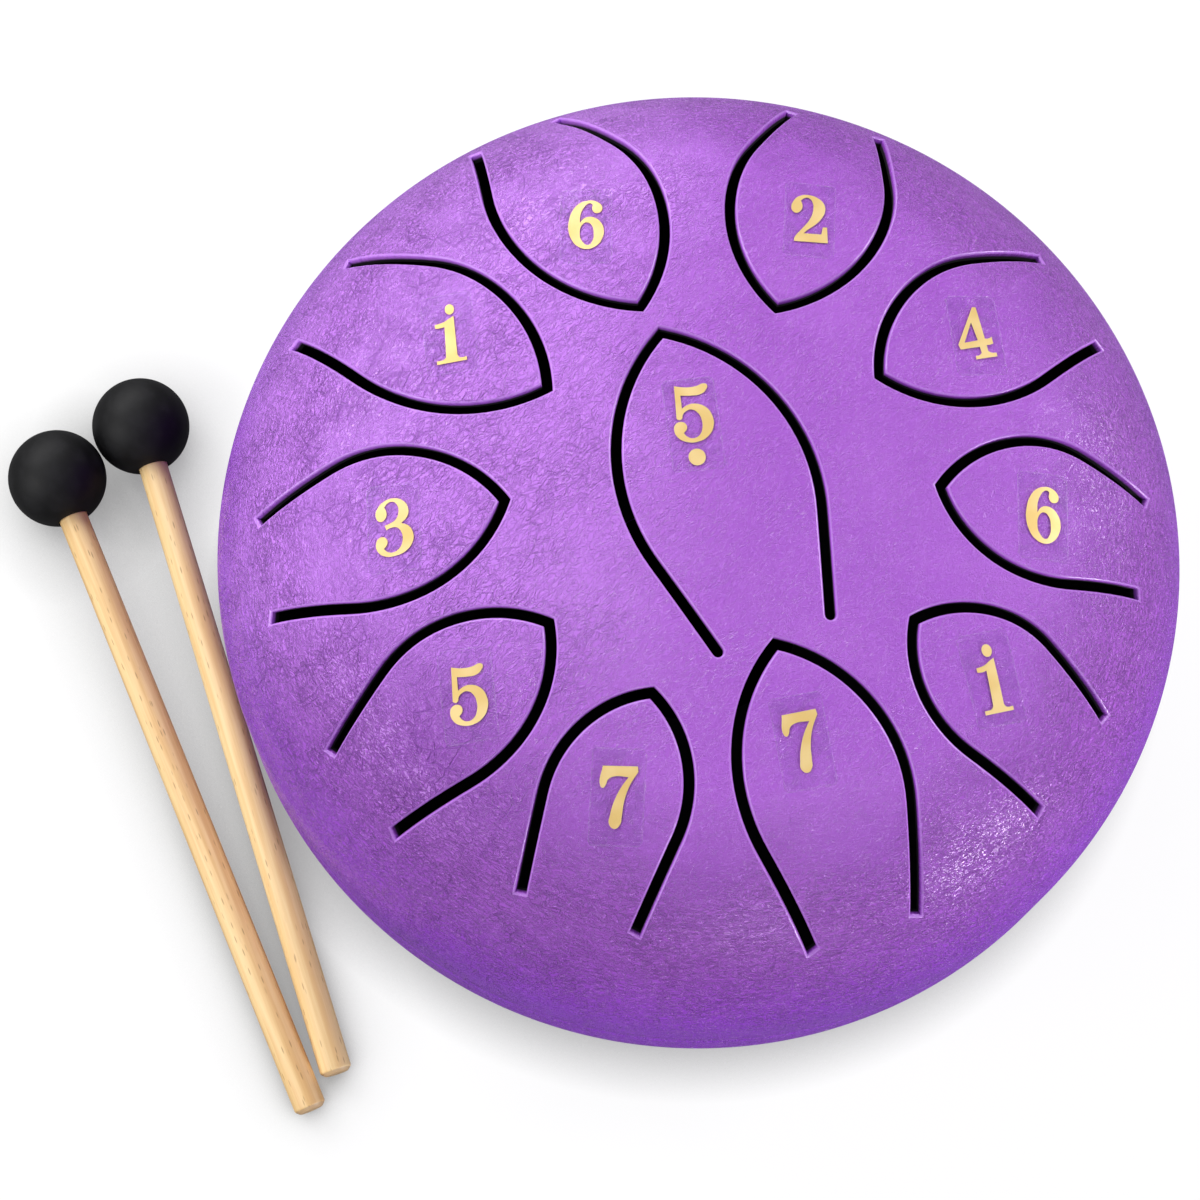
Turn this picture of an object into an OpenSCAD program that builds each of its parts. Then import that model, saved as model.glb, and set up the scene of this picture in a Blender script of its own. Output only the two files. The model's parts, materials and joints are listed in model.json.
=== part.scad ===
// Steel tongue drum, 8 inch class, with its pair of rubber-headed mallets.
// Millimetres, +Z up. The origin is the centre of the sound hole, in the plane of the
// drum's underside. The photograph's viewer stands on the -Y side.

/* [Drum body] */
// Outer diameter of the drum
drum_d = 200; // [190:1:330]
// Radius of the rounded shoulder between the wall and the crown
shoulder_r = 49.5; // [35:0.5:58]
// Radius of curvature of the crown, a shallow spherical cap
crown_r = 290; // [220:1:500]
// Height of the straight wall of the top shell
top_wall_h = 10.5; // [5:0.5:30]
// Height of the straight wall of the bottom shell
bottom_wall_h = 10.5; // [5:0.5:30]
// Radius of the bottom shell's rounded edge
base_r = 22; // [8:0.5:35]
// Thickness of the steel sheet of both shells
sheet_t = 2; // [1.5:0.1:3]
// Diameter of the sound hole in the underside
sound_hole_d = 50; // [20:1:80]

/* [Seam] */
// Width of the weld bead at the wall's surface, ground flush
weld_w = 2.4; // [1:0.1:4]
// Depth of the weld bead
weld_depth = 1.2; // [0.5:0.1:1.4]

/* [Tongue slots] */
// Width of the slot cut round each tongue
slot_w = 2.1; // [1:0.1:3]
// How much wider than the slot its round ends are, at the centre tongue
slot_end_extra = 0.1; // [0.1:0.1:1]
// Length of the centre tongue, low note 5
low_5_length = 63.8; // [56:0.1:66]
// Width of the centre tongue, low note 5
low_5_width = 37; // [32:0.1:39]
// Length of the tongue of note 2
note_2_length = 52.5; // [42:0.1:55]
// Width of the tongue of note 2
note_2_width = 31.4; // [26:0.1:33]
// Length of the left tongue of note 6
note_6_left_length = 54.3; // [42:0.1:56]
// Width of the left tongue of note 6
note_6_left_width = 32; // [26:0.1:34]
// Length of the left tongue of high note 1
high_1_left_length = 53; // [42:0.1:55]
// Width of the left tongue of high note 1
high_1_left_width = 30.2; // [25:0.1:32]
// Length of the tongue of note 3
note_3_length = 47.8; // [40:0.1:52]
// Width of the tongue of note 3
note_3_width = 30.4; // [25:0.1:32]
// Length of the tongue of note 5
note_5_length = 45.4; // [38:0.1:50]
// Width of the tongue of note 5
note_5_width = 28.4; // [24:0.1:30]
// Length of the left tongue of note 7
note_7_left_length = 40.8; // [36:0.1:46]
// Width of the left tongue of note 7
note_7_left_width = 26.8; // [24:0.1:29]
// Length of the right tongue of note 7
note_7_right_length = 53.7; // [42:0.1:55]
// Width of the right tongue of note 7
note_7_right_width = 31.5; // [26:0.1:33]
// Length of the right tongue of high note 1
high_1_right_length = 40; // [36:0.1:46]
// Width of the right tongue of high note 1
high_1_right_width = 26.8; // [24:0.1:29]
// Length of the right tongue of note 6
note_6_right_length = 42.8; // [38:0.1:48]
// Width of the right tongue of note 6
note_6_right_width = 28; // [24:0.1:30]
// Length of the tongue of note 4
note_4_length = 48; // [40:0.1:52]
// Width of the tongue of note 4
note_4_width = 30.3; // [25:0.1:32]

/* [Note stickers] */
// Width of a clear film sticker
film_w = 10.2; // [8:0.1:12]
// Height of a clear film sticker
film_h = 17.5; // [12:0.5:18]
// Height of the centre tongue's film, which has room for a dot below its numeral
low_film_h = 19; // [17:0.5:21]
// Thickness of the film with its adhesive
film_t = 0.2; // [0.1:0.05:0.4]
// Corner radius of the film
film_corner_r = 1; // [0.5:0.1:2]

/* [Feet] */
// Diameter of a rubber foot
foot_d = 12; // [8:0.5:18]
// Height of a rubber foot
foot_h = 3; // [2:0.5:6]
// Radius of the foot's rounded lower edge
foot_edge_r = 1; // [0.3:0.1:1.5]
// Diameter of the circle on which the feet stand
foot_circle_d = 124; // [105:1:140]
// Diameter of the adhesive disc over each foot
pad_d = 11; // [6:0.5:12]
// Thickness of the adhesive disc
pad_t = 0.5; // [0.3:0.1:1]

/* [Mallets] */
// Diameter of the rubber ball
ball_d = 21.7; // [18:0.1:30]
// Diameter of the stick at its tail
stick_d = 6.8; // [6.6:0.1:8]
// Diameter of the stick where it enters the ball
neck_d = 6.4; // [5:0.1:6.6]
// Length of the mallet from the ball's centre to the tail's end
mallet_reach = 151.8; // [120:0.1:200]
// Depth of the blind bore in the ball, from the ball's outside
seat_depth = 15; // [10:0.5:16]
// Chamfer round the stick's tail
tail_chamfer = 0.9; // [0.3:0.1:1.5]
// Width of the chamfer at the bore's mouth
mouth_chamfer = 0.4; // [0.2:0.1:0.8]

/* [Hidden] */
$fn = 240;

// Clearances, and how far a cutting shape runs past the surface that it cuts
film_gap = 0.05;
seat_gap = 0.05;
seat_end_gap = 0.2;
wall_gap = 0.7;
ball_gap = 0.3;
overrun = 1;

// Body heights and radii that follow from the driving sizes
drum_r = drum_d / 2;
seam_z = base_r + bottom_wall_h;
wall_top = seam_z + top_wall_h;
shoulder_x = drum_r - shoulder_r;
crown_z = wall_top - sqrt(pow(crown_r - shoulder_r, 2) - pow(shoulder_x, 2));
top_z = crown_z + crown_r;
floor_z = -pad_t - foot_h;

// Tongues, centre one first and then anticlockwise from above: length, width
tongue_sizes = [
    [low_5_length, low_5_width],
    [note_2_length, note_2_width],
    [note_6_left_length, note_6_left_width],
    [high_1_left_length, high_1_left_width],
    [note_3_length, note_3_width],
    [note_5_length, note_5_width],
    [note_7_left_length, note_7_left_width],
    [note_7_right_length, note_7_right_width],
    [high_1_right_length, high_1_right_width],
    [note_6_right_length, note_6_right_width],
    [note_4_length, note_4_width]
];
// Direction of each root seen from the drum's axis, and the tongue's lean off that direction
tongue_angles = [
    [-66.6, 0.6], [76.7, 1.6], [120.1, 1.8], [156, -1], [-166.1, 0.4], [-134.1, -2.6],
    [-102.5, -1.9], [-66.3, 0.7], [-32, 0.9], [-1, -2.8], [35.3, -0.9]
];
// Distance of each root from the axis as a share of the drum's radius
root_place_shares = [0.34, 0.884, 0.908, 0.891, 0.883, 0.889, 0.86, 0.897, 0.874, 0.862, 0.859];
// Width of each root as a share of the tongue's width
root_width_shares = [0.61, 0.6, 0.59, 0.67, 0.66, 0.7, 0.855, 0.67, 0.85, 0.7, 0.72];
// Place of the widest part, from the tip, as a share of the tongue's length
widest_share = 0.52;
// Stickers: place along the tongue as a share of its length from the tip, and aside as a
// share of half its width
sticker_place_shares = [
    [0.32, -0.04], [0.41, -0.07], [0.39, 0.06], [0.43, -0.09], [0.45, 0.07], [0.44, 0.07],
    [0.49, 0.02], [0.35, -0.09], [0.45, 0.02], [0.48, -0.12], [0.46, -0.06]
];
// Turn of each sticker's numeral, anticlockwise from upright
sticker_turns = [11.6, 0.7, 4.7, 12, 7.9, 11.5, 2.1, 15.9, 19.3, 3.3, 10.7];
first_sticker = 9;

// Feet stand round the underside, the first at the back
foot_angles = [90, 210, 330];

// The right mallet lies along a line that just clears the drum's wall; its ball is this far
// past the point where that line is nearest to the drum, and the left ball lies against it
right_heading = -66.8;
left_heading = -61.6;
left_ball_angle = 219.9;
right_ball_along_share = 0.512;

// Tail resting on the floor beside the ball: the stick's slope
ball_r = ball_d / 2;
mallet_slope = asin(ball_r / norm([mallet_reach, stick_d / 2])) - atan(stick_d / 2 / mallet_reach);

function along(angle, distance) = [distance * cos(angle), distance * sin(angle)];
function tip_place(k) =
    along(tongue_angles[k][0], root_place_shares[k] * drum_r)
    - along(tongue_angles[k][0] + tongue_angles[k][1], tongue_sizes[k][0]);

right_line = drum_r + wall_gap + stick_d / 2;
right_ball = along(right_heading - 90, right_line) - along(right_heading, right_ball_along_share * mallet_reach);
left_ball = right_ball + along(left_ball_angle, ball_d + ball_gap);

// Half section of the upper body, grown outwards by grow: wall, shoulder arc and crown arc,
// which meet in a common tangent
module upper_section(grow) {
    meet_x = (crown_r + grow) * shoulder_x / (crown_r - shoulder_r);
    intersection() {
        translate([0, crown_z]) circle(r = crown_r + grow);
        translate([0, wall_top]) square([meet_x, top_z]);
    }
    intersection() {
        translate([shoulder_x, wall_top]) circle(r = shoulder_r + grow);
        translate([meet_x, wall_top]) square([drum_r, top_z]);
    }
    translate([0, seam_z]) square([drum_r + grow, top_wall_h]);
}

// Half section of the lower body: wall, rounded edge and flat base
module lower_section(grow) {
    translate([0, base_r]) square([drum_r + grow, bottom_wall_h]);
    intersection() {
        translate([drum_r - base_r, base_r]) circle(r = base_r + grow);
        translate([drum_r - base_r, -base_r]) square([drum_r, 2 * base_r]);
    }
    translate([0, -grow]) square([drum_r - base_r, base_r + grow]);
}

// Section of the weld's V groove, or with reach 0 of the weld bead that fills it
module weld_section(reach) {
    half = weld_w / 2 * (weld_depth + reach) / weld_depth;
    polygon([
        [drum_r - weld_depth, seam_z],
        [drum_r + reach, seam_z - half],
        [drum_r + reach, seam_z + half]
    ]);
}

// One side of a tongue's slot, drawn from the tip at the origin towards +X: an arc that
// swells to the widest place, and a straight flank from the arc's tangent to the root
module slot_side(length, width, root_width) {
    widest = widest_share * length;
    arc_r = (pow(widest, 2) + pow(width / 2, 2)) / width;
    arc_y = width / 2 - arc_r;
    to_root = [length - widest, root_width / 2 - arc_y];
    flank = sqrt(pow(norm(to_root), 2) - pow(arc_r, 2));
    tangent_angle = atan2(to_root[1], to_root[0]) + acos(arc_r / norm(to_root));
    intersection() {
        translate([widest, arc_y]) rotate(tangent_angle) difference() {
            intersection() {
                circle(r = arc_r + slot_w / 2);
                translate([-drum_r, 0]) square([drum_d, drum_d]);
            }
            circle(r = arc_r - slot_w / 2);
        }
        translate([-drum_r, 0]) square([drum_d, drum_d]);
    }
    translate([widest, arc_y]) rotate(tangent_angle)
        translate([arc_r - slot_w / 2, -flank]) square([slot_w, flank]);
}

// The slot round tongue k. The centre tongue's slot has round ends, the others square ones
module tongue_slot(k) {
    length = tongue_sizes[k][0];
    width = tongue_sizes[k][1];
    root_width = width * root_width_shares[k];
    translate(tip_place(k)) rotate(tongue_angles[k][0] + tongue_angles[k][1])
        for (side = [0, 1]) mirror([0, side, 0]) {
            slot_side(length, width, root_width);
            if (k == 0) translate([length, root_width / 2]) circle(d = slot_w + slot_end_extra);
        }
}

module top_shell() {
    color("mediumpurple") difference() {
        rotate_extrude() difference() {
            upper_section(0);
            upper_section(-sheet_t);
            translate([0, seam_z - overrun]) square([drum_r - sheet_t, top_wall_h + overrun]);
            weld_section(overrun);
        }
        for (k = [0 : len(tongue_sizes) - 1])
            translate([0, 0, wall_top]) linear_extrude(height = top_z) tongue_slot(k);
    }
}

module bottom_shell() {
    color("rebeccapurple") difference() {
        rotate_extrude() difference() {
            lower_section(0);
            lower_section(-sheet_t);
            translate([0, seam_z - bottom_wall_h]) square([drum_r - sheet_t, bottom_wall_h + overrun]);
            weld_section(overrun);
        }
        translate([0, 0, -overrun]) cylinder(d = sound_hole_d, h = sheet_t + 2 * overrun);
    }
}

module seam_weld() {
    color("indigo") rotate_extrude() weld_section(0);
}

// A stick-on rubber foot, widest at the top, with a rounded edge at the floor
module foot(angle) {
    color("dimgray") rotate(angle) translate([foot_circle_d / 2, 0, floor_z]) rotate_extrude() {
        square([foot_d / 2 - foot_edge_r, foot_h]);
        translate([0, foot_edge_r]) square([foot_d / 2, foot_h - foot_edge_r]);
        translate([foot_d / 2 - foot_edge_r, foot_edge_r]) intersection() {
            circle(r = foot_edge_r);
            translate([0, -foot_edge_r]) square([foot_edge_r, 2 * foot_edge_r]);
        }
    }
}

module adhesive(angle) {
    color("whitesmoke") rotate(angle) translate([foot_circle_d / 2, 0, -pad_t])
        cylinder(d = pad_d, h = pad_t);
}

module film_outline(height) {
    inner_w = film_w - 2 * film_corner_r;
    inner_h = height - 2 * film_corner_r;
    square([film_w, inner_h], center = true);
    square([inner_w, height], center = true);
    for (x = [-inner_w / 2, inner_w / 2], y = [-inner_h / 2, inner_h / 2])
        translate([x, y]) circle(r = film_corner_r);
}

// The film on tongue k follows the crown and shoulder, a hair above the coat
module sticker(k) {
    tongue_turn = tongue_angles[k][0] + tongue_angles[k][1];
    place = tip_place(k)
        + along(tongue_turn, sticker_place_shares[k][0] * tongue_sizes[k][0])
        + along(tongue_turn + 90, sticker_place_shares[k][1] * tongue_sizes[k][1] / 2);
    color("plum") intersection() {
        rotate_extrude() difference() {
            upper_section(film_gap + film_t);
            upper_section(film_gap);
        }
        translate([place[0], place[1], wall_top]) rotate(sticker_turns[k])
            linear_extrude(height = top_z) film_outline(k == 0 ? low_film_h : film_h);
    }
}

// Lays a mallet drawn along +Z from its ball's centre down on the floor, ball and tail touching
module laid(place, heading) {
    translate([place[0], place[1], floor_z + ball_r]) rotate(heading)
        rotate([0, 90 + mallet_slope, 0]) children();
}

module mallet_stick() {
    color("burlywood") rotate_extrude() polygon([
        [0, ball_r - seat_depth + seat_end_gap],
        [neck_d / 2, ball_r - seat_depth + seat_end_gap],
        [neck_d / 2, ball_r],
        [stick_d / 2, mallet_reach - tail_chamfer - ball_d],
        [stick_d / 2, mallet_reach - tail_chamfer],
        [stick_d / 2 - tail_chamfer, mallet_reach],
        [0, mallet_reach]
    ]);
}

module mallet_ball() {
    bore_r = neck_d / 2 + seat_gap;
    mouth_z = sqrt(pow(ball_r, 2) - pow(bore_r + mouth_chamfer, 2));
    color("black") difference() {
        sphere(r = ball_r);
        translate([0, 0, ball_r - seat_depth]) cylinder(r = bore_r, h = seat_depth + overrun);
        rotate_extrude() polygon([
            [0, mouth_z - mouth_chamfer],
            [bore_r, mouth_z - mouth_chamfer],
            [bore_r + mouth_chamfer, mouth_z],
            [bore_r + mouth_chamfer, ball_r + overrun],
            [0, ball_r + overrun]
        ]);
    }
}

top_shell();
bottom_shell();
seam_weld();
foot(foot_angles[0]);  // foot_back
foot(foot_angles[1]);  // foot_left
foot(foot_angles[2]);  // foot_right
adhesive(foot_angles[0]);  // adhesive_back
adhesive(foot_angles[1]);  // adhesive_left
adhesive(foot_angles[2]);  // adhesive_right
for (k = [0 : len(tongue_sizes) - 1])
    sticker(k);
laid(left_ball, left_heading) mallet_stick();  // mallet_left_stick
laid(left_ball, left_heading) mallet_ball();  // mallet_left_ball
laid(right_ball, right_heading) mallet_stick();  // mallet_right_stick
laid(right_ball, right_heading) mallet_ball();  // mallet_right_ball
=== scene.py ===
"""Steel tongue drum with its pair of mallets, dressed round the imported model. Metres, +Z up."""
import json
import math

import bmesh
import bpy
from mathutils import Matrix, Vector, noise


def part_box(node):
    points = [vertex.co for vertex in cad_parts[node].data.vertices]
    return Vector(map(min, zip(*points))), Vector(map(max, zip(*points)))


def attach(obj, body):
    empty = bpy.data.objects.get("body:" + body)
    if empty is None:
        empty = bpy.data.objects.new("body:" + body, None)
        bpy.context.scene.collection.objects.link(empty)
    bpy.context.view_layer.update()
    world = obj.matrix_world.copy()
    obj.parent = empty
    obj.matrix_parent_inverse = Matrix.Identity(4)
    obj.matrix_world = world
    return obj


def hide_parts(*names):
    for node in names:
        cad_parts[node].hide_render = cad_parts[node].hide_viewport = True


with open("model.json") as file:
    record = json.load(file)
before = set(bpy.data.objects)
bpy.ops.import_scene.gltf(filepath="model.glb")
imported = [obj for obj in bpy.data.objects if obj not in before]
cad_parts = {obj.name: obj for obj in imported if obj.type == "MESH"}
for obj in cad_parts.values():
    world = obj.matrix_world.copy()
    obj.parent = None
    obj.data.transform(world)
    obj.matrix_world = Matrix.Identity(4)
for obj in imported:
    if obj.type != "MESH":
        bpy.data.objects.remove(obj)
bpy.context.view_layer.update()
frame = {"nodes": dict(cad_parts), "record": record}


# The camera stands above the player's side of the drum and looks down at 73 degrees through
# a long lens, turned a little about its line of sight, as the photograph was taken.
camera_lens = 79.757
camera_place = Vector((-0.0196, -0.1735, 0.5727))
camera_tilt = math.radians(90 - 73.02)
camera_roll = math.radians(5.05)

scene = bpy.context.scene
camera_data = bpy.data.cameras.new("photo_camera")
camera_data.lens = camera_lens
camera = bpy.data.objects.new("photo_camera", camera_data)
camera.matrix_world = (
    Matrix.Translation(camera_place)
    @ Matrix.Rotation(camera_tilt, 4, "X")
    @ Matrix.Rotation(camera_roll, 4, "Z")
)
scene.collection.objects.link(camera)
scene.camera = camera
scene.view_settings.view_transform = "Standard"


# The floor is a plain sheet of white studio paper that shows white in the open. The soft grey
# shadows that hug the drum and the mallets are partly real and partly painted shadow, where an
# occlusion mask darkens the paper's white fill. Under the drum the paper is painted black as
# shade.
floor_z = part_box("foot_back")[0].z
floor_half = 3.0
paper_albedo = 0.13
paper_white_fill = 0.9
contact_reach = 0.018
painted_shade_under_drum = (0.08, 0.094)
contact_shares = (0.4, 0.96)
contact_darkest = 0.35
paper_in_mirrors = 0.1
sharp_angle = math.radians(50)


def add_node(tree, kind, values=(), **settings):
    """Adds a node: its settings by name, its sockets as values or as sockets to link from."""
    made = tree.nodes.new(kind)
    for name, value in settings.items():
        setattr(made, name, value)
    for socket, value in dict(values).items():
        if isinstance(value, bpy.types.NodeSocket):
            tree.links.new(value, made.inputs[socket])
        else:
            made.inputs[socket].default_value = value
    return made


def math_node(tree, operation, first, second=0.0, third=0.0):
    """A Math node's result."""
    parts = {0: first, 1: second, 2: third}
    return add_node(tree, "ShaderNodeMath", parts, operation=operation).outputs[0]


def times(tree, first, second):
    """A product."""
    return math_node(tree, "MULTIPLY", first, second)


def ramp(tree, value, low, high, to_low=0.0, to_high=1.0, shape="SMOOTHSTEP"):
    """A step from to_low at low to to_high at high."""
    ends = {"From Min": low, "From Max": high, "To Min": to_low, "To Max": to_high}
    return add_node(
        tree, "ShaderNodeMapRange", {"Value": value, **ends}, interpolation_type=shape
    ).outputs[0]


def vector_node(tree, operation, first, second=(0, 0, 0), scale=1.0):
    """A Vector Math node's vector, or its value where the operation gives a length."""
    parts = {0: first, 1: second, 3: scale}
    made = add_node(tree, "ShaderNodeVectorMath", parts, operation=operation)
    return made.outputs["Value" if operation == "LENGTH" else "Vector"]


def split_node(tree, vector):
    """A vector's or a colour's three parts."""
    return add_node(tree, "ShaderNodeSeparateXYZ", {0: vector}).outputs


def bare_material(name):
    """A material without nodes."""
    material = bpy.data.materials.new(name)
    material.use_nodes = True
    material.node_tree.nodes.clear()
    return material, material.node_tree


def object_place(tree):
    """The piece's own coordinates, in metres."""
    return tree.nodes.new("ShaderNodeTexCoord").outputs["Object"]


def show(tree, surface):
    """Wires a shader to the material's output."""
    add_node(tree, "ShaderNodeOutputMaterial", {"Surface": surface.outputs[0]})


def seen_directly(tree, in_mirrors):
    """1 for rays from the camera or through glass, in_mirrors in a reflection, 0 for lighting."""
    path = tree.nodes.new("ShaderNodeLightPath").outputs
    seen = math_node(tree, "MAXIMUM", path["Is Camera Ray"], path["Is Transmission Ray"])
    return math_node(tree, "MAXIMUM", seen, times(tree, path["Is Glossy Ray"], in_mirrors))


def shade(mesh):
    """Shades a bmesh smooth but for its sharp edges."""
    for face in mesh.faces:
        face.smooth = True
    for edge in mesh.edges:
        edge.smooth = edge.calc_face_angle(0) < sharp_angle


def new_object(name, mesh_source, material=None):
    """Makes a bmesh into a linked, shaded object whose place is in its mesh."""
    shade(mesh_source)
    mesh = bpy.data.meshes.new(name)
    mesh_source.to_mesh(mesh)
    mesh_source.free()
    if material:
        mesh.materials.append(material)
    made = bpy.data.objects.new(name, mesh)
    scene.collection.objects.link(made)
    return made


paper_mesh = bmesh.new()
bmesh.ops.create_grid(paper_mesh, x_segments=8, y_segments=8, size=floor_half)
bmesh.ops.translate(paper_mesh, verts=paper_mesh.verts, vec=(0, 0, floor_z))
paper_material, tree = bare_material("studio_paper")
axis_distance = vector_node(tree, "LENGTH", object_place(tree))
# painted shade: the paper's colour and fill go to black under the drum
outside_drum = ramp(tree, axis_distance, *painted_shade_under_drum, shape="LINEAR")
diffuse_color = times(tree, outside_drum, paper_albedo)
paper_diffuse = add_node(tree, "ShaderNodeBsdfDiffuse", {"Color": diffuse_color})
open_share = add_node(
    tree, "ShaderNodeAmbientOcclusion", {"Distance": contact_reach}, samples=8
).outputs["AO"]
# painted shadow: the occlusion mask darkens the white fill next to the drum and the mallets
painted_contact_shade = ramp(tree, open_share, *contact_shares, contact_darkest, 1, "LINEAR")
fill_here = times(tree, times(tree, outside_drum, paper_white_fill), painted_contact_shade)
fill_strength = times(tree, seen_directly(tree, paper_in_mirrors), fill_here)
paper_fill = add_node(tree, "ShaderNodeEmission", {"Strength": fill_strength})
both = {0: paper_diffuse.outputs[0], 1: paper_fill.outputs[0]}
show(tree, add_node(tree, "ShaderNodeAddShader", both))
paper = new_object("studio_paper", paper_mesh, paper_material)


# The light is a white room, brighter overhead and dim at the horizon, with softboxes high on
# the left, behind and on the right, and low panels that draw the gloss on the rim.
room_fill = 0.16
room_overhead = 0.22
room_dim = 0.15
room_dim_below = 0.35
room_full_above = 0.9
room_color = (0.9, 0.9, 0.91, 1)
lamps = {
    "softbox_left": {"place": (-0.78, 0.48, 0.72), "size": (0.45, 0.45), "power": 5.8},
    "softbox_back": {"place": (-0.4, 1.00, 0.6), "size": (0.6, 0.6), "power": 6.0},
    "softbox_right": {"place": (1.1, 0.5, 0.52), "size": (0.5, 0.5), "power": 10.5},
    "panel_right": {"place": (1.05, -0.72, 0.1), "size": (0.42, 0.2), "power": 9.5},
    "panel_front": {"place": (0.25, -1.00, 0.25), "size": (0.14, 0.1), "power": 1.0},
    "panel_left": {"place": (-0.72, -0.44, 0.48), "size": (0.6, 0.6), "power": 4.8},
}
lamp_aim = Vector((0, 0, 0.06))

world = bpy.data.worlds.new("white_room")
scene.world = world
world.use_nodes = True
tree = world.node_tree
tree.nodes.clear()
sky = split_node(tree, tree.nodes.new("ShaderNodeTexCoord").outputs["Generated"])
sky_square = math_node(tree, "POWER", math_node(tree, "MAXIMUM", sky["Z"], 0), 2)
sky_light = math_node(tree, "MULTIPLY_ADD", sky_square, room_overhead, room_fill)
sky_mirrored = ramp(tree, sky["Z"], room_dim_below, room_full_above, room_dim, 1, "LINEAR")
room_shares = {0: seen_directly(tree, sky_mirrored), 2: sky_light, 3: 1.0}
room_strength = add_node(tree, "ShaderNodeMix", room_shares).outputs[0]
room_light = add_node(
    tree, "ShaderNodeBackground", {"Color": room_color, "Strength": room_strength}
)
add_node(tree, "ShaderNodeOutputWorld", {"Surface": room_light.outputs[0]})
for lamp_name, lamp in lamps.items():
    light = bpy.data.lights.new(lamp_name, "AREA")
    light.shape = "RECTANGLE"
    light.size, light.size_y = lamp["size"]
    light.energy = lamp["power"]
    holder = bpy.data.objects.new(lamp_name, light)
    holder.location = lamp["place"]
    holder.rotation_euler = (lamp_aim - holder.location).to_track_quat("-Z", "Y").to_euler()
    scene.collection.objects.link(holder)


# The top shell is pressed from 2 mm steel sheet: a shallow crown, a rounded shoulder and a
# short wall. Its eleven tongues are cut by laser, square to the sheet. The coat is a violet
# stoved enamel that rounds the cut edges and dries in fine wrinkles, like leather.
MM = 0.001
Y_AXIS = (0, 1, 0)
Z_AXIS = (0, 0, 1)
shell_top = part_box("top_shell")[1].z
drum_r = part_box("top_shell")[1].x
seam_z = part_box("top_shell")[0].z
sheet_t = 2 * MM
shoulder_r = 49.5 * MM
crown_r = 290 * MM
wall_top = seam_z + 10.5 * MM
weld_w = 2.4 * MM
weld_depth = 1.2 * MM
shoulder_x = drum_r - shoulder_r
crown_z = shell_top - crown_r
crown_angle = math.asin(shoulder_x / (crown_r - shoulder_r))
crown_end = crown_r * math.sin(crown_angle)
turn_steps = 288
crown_steps = 58
shoulder_steps = 66
inner_steps = 30
wall_steps = 5

# Small dents of the pressing: place in plan, depth and spread
dents = [
    {"place": (-36 * MM, 81 * MM), "depth": 0.5 * MM, "spread": 3.2 * MM},
    {"place": (91 * MM, 3 * MM), "depth": 0.5 * MM, "spread": 3.0 * MM},
    {"place": (46 * MM, 45 * MM), "depth": 0.25 * MM, "spread": 3.5 * MM},
]


def dent_at(x, y):
    """How far the dents lower the sheet at a place in plan."""
    total = 0.0
    for dent in dents:
        away = math.hypot(x - dent["place"][0], y - dent["place"][1]) / dent["spread"]
        total += dent["depth"] * math.exp(-away * away)
    return total


def coat_z(x, y):
    """Height of the top shell's outer surface at a place in plan."""
    radius = math.hypot(x, y)
    if radius < crown_end:
        height = crown_z + math.sqrt(crown_r ** 2 - radius ** 2)
    else:
        out = min(radius - shoulder_x, shoulder_r)
        height = wall_top + math.sqrt(shoulder_r ** 2 - out ** 2)
    return height - dent_at(x, y)


def sheet_normal(place):
    """The direction straight out of the top shell at a place on it."""
    radius = math.hypot(place.x, place.y)
    if radius < crown_end:
        return Vector((place.x, place.y, place.z - crown_z)).normalized()
    out = min(radius - shoulder_x, 0.98 * shoulder_r) / radius
    return Vector((place.x * out, place.y * out, place.z - wall_top)).normalized()


def whole(mesh):
    """All parts of a bmesh."""
    return mesh.verts[:] + mesh.edges[:] + mesh.faces[:]


def swing(mesh, parts, centre, angle, steps, axis=Y_AXIS):
    """Spins vertices and edges through an arc and returns the last copies."""
    spun = bmesh.ops.spin(mesh, geom=parts, cent=centre, axis=axis, angle=angle, steps=steps)
    return spun["geom_last"]


def round_off(mesh, parts, reach, segments, affect="EDGES"):
    """Rounds edges, or the corners of a flat face, over a reach."""
    bmesh.ops.bevel(
        mesh, geom=parts, offset=reach, offset_type="OFFSET", affect=affect,
        segments=segments, profile=0.5, material=-1,
    )


def draw_to(mesh, vertex, place, steps=1):
    """Extrudes a vertex in a straight line and returns the last vertex."""
    start = vertex.co.copy()
    for step in range(steps):
        vertex = bmesh.ops.extrude_vert_indiv(mesh, verts=[vertex])["verts"][0]
        vertex.co = start.lerp(Vector(place), (step + 1) / steps)
    return vertex


def full_turn(mesh, steps):
    """Spins a closed half section about the drum's axis into a solid with its faces outwards."""
    bmesh.ops.spin(
        mesh, geom=mesh.verts[:] + mesh.edges[:], cent=(0, 0, 0), axis=Z_AXIS,
        angle=2 * math.pi, steps=steps, use_merge=True, use_duplicate=False,
    )
    bmesh.ops.remove_doubles(mesh, verts=mesh.verts, dist=0.0005 * MM)
    bmesh.ops.recalc_face_normals(mesh, faces=mesh.faces)


shell_mesh = bmesh.new()
rim_ends = []
for inset, first_steps, second_steps in (
    (0, crown_steps, shoulder_steps),
    (sheet_t, inner_steps, inner_steps),
):
    pole = shell_mesh.verts.new((0, 0, shell_top - inset))
    crown_last = swing(shell_mesh, [pole], (0, 0, crown_z), crown_angle, first_steps)
    shoulder_centre = (shoulder_x, 0, wall_top)
    shoulder_angle = math.pi / 2 - crown_angle
    shoulder_last = swing(shell_mesh, crown_last, shoulder_centre, shoulder_angle, second_steps)
    rim_ends.append(shoulder_last[0])
outer_foot = draw_to(shell_mesh, rim_ends[0], (drum_r, 0, seam_z + weld_w / 2), wall_steps)
outer_foot = draw_to(shell_mesh, outer_foot, (drum_r - weld_depth, 0, seam_z))
inner_foot = draw_to(shell_mesh, rim_ends[1], (drum_r - sheet_t, 0, seam_z), 2)
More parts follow.
